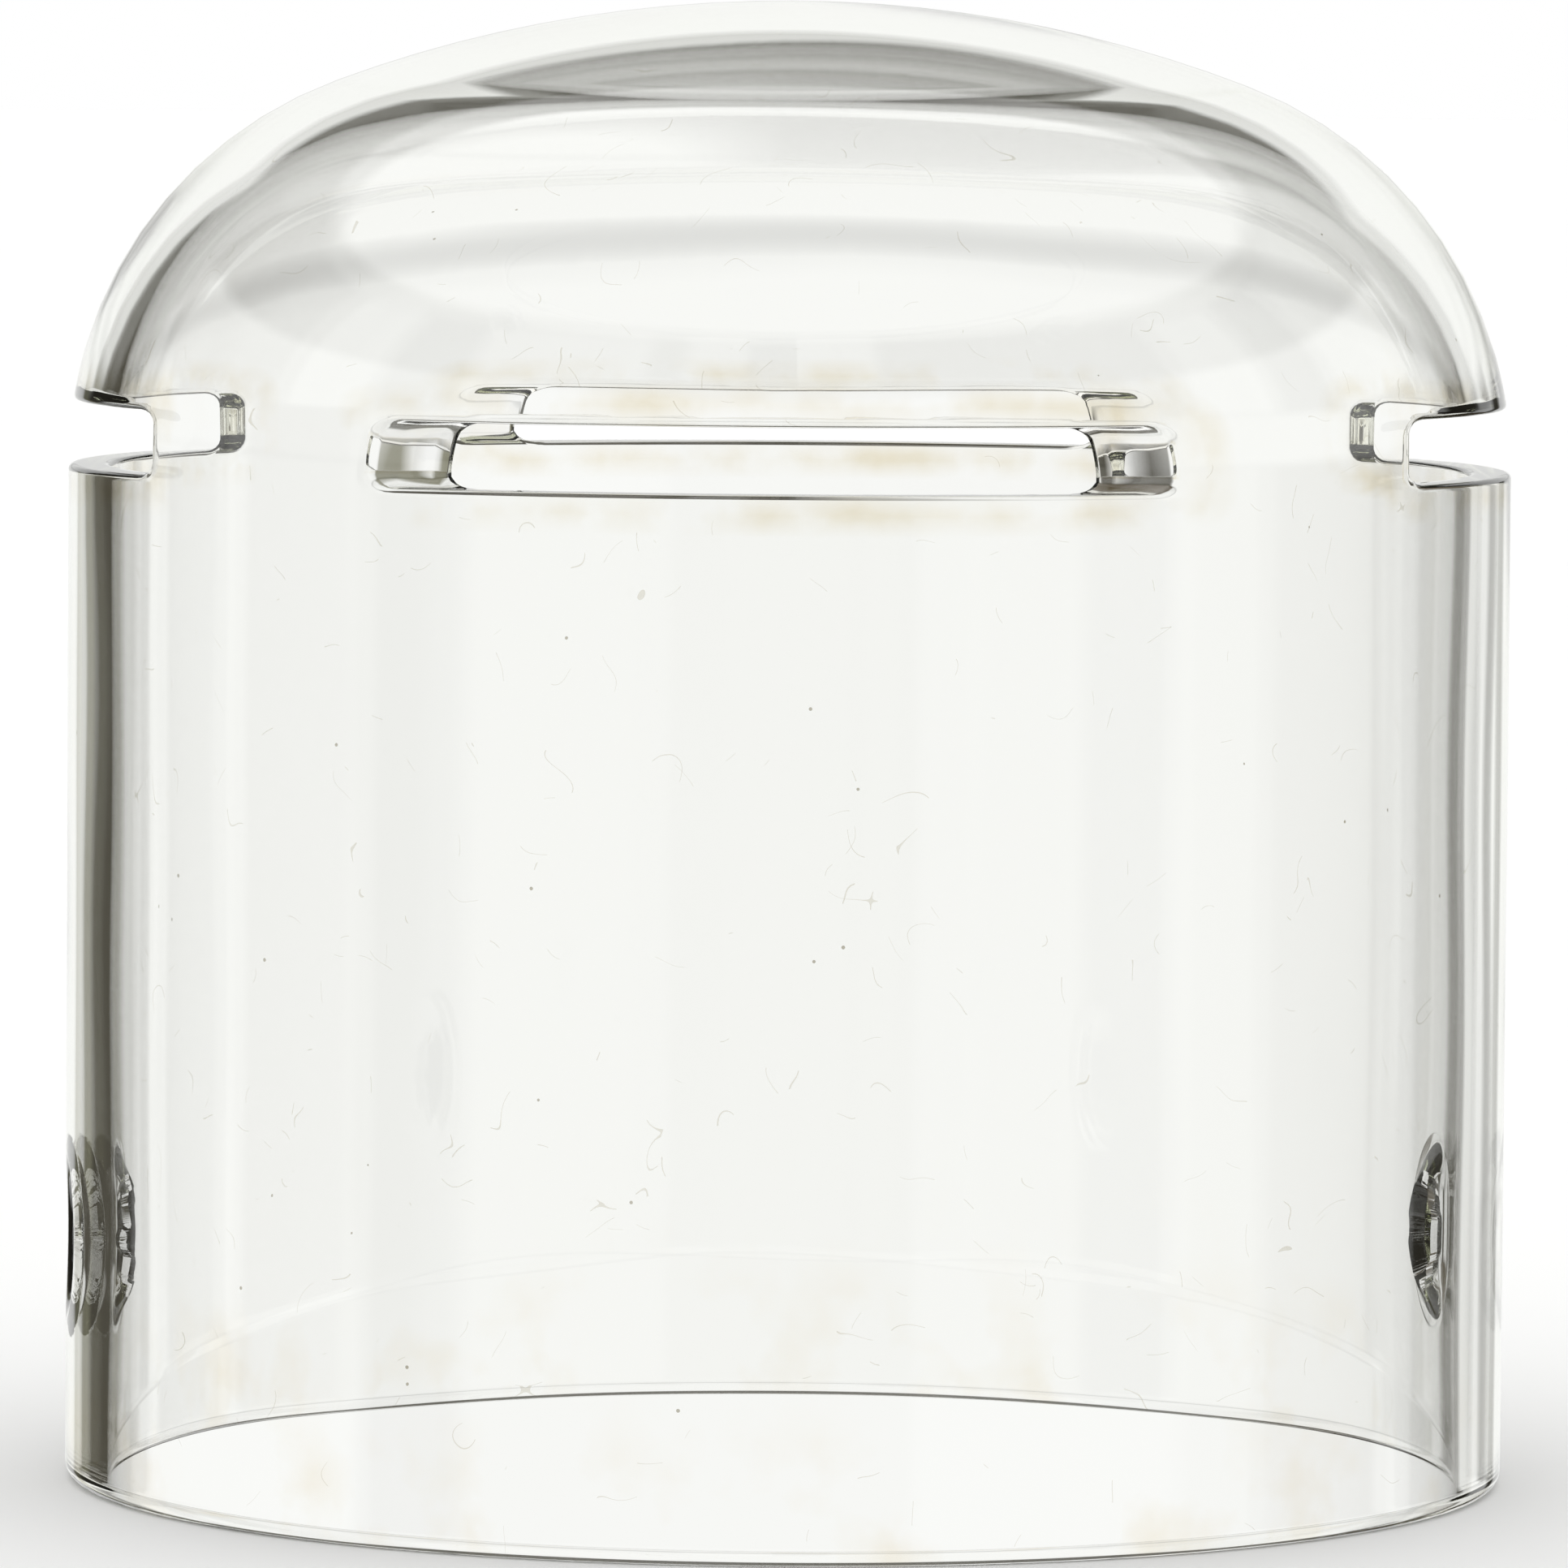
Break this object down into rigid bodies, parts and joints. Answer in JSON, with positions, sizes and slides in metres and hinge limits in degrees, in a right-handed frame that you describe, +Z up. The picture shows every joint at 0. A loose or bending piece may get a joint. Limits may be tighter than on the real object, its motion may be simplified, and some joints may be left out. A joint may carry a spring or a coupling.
{
  "type": "glass dome cover",
  "caption": "Clear borosilicate glass dome cover for a studio flash head: open-bottom tube with a domed crown, saw-cut vent slots under the shoulder and pressed catch dimples near the rim.",
  "frame": {"origin": "centre of the open rim, in the plane the cover stands on", "axes": "+Z up along the tube's axis to the crown; a vent slot faces each of -Y (front), +X, +Y and -X"},
  "size_m": [0.075, 0.075, 0.077],
  "materials": {
    "borosilicate_glass": "clear, fire-polished, with a faint amber bloom of old coating around the slots"
  },
  "bodies": {
    "root": {"glass_cover": "borosilicate_glass"}
  },
  "joints": []
}
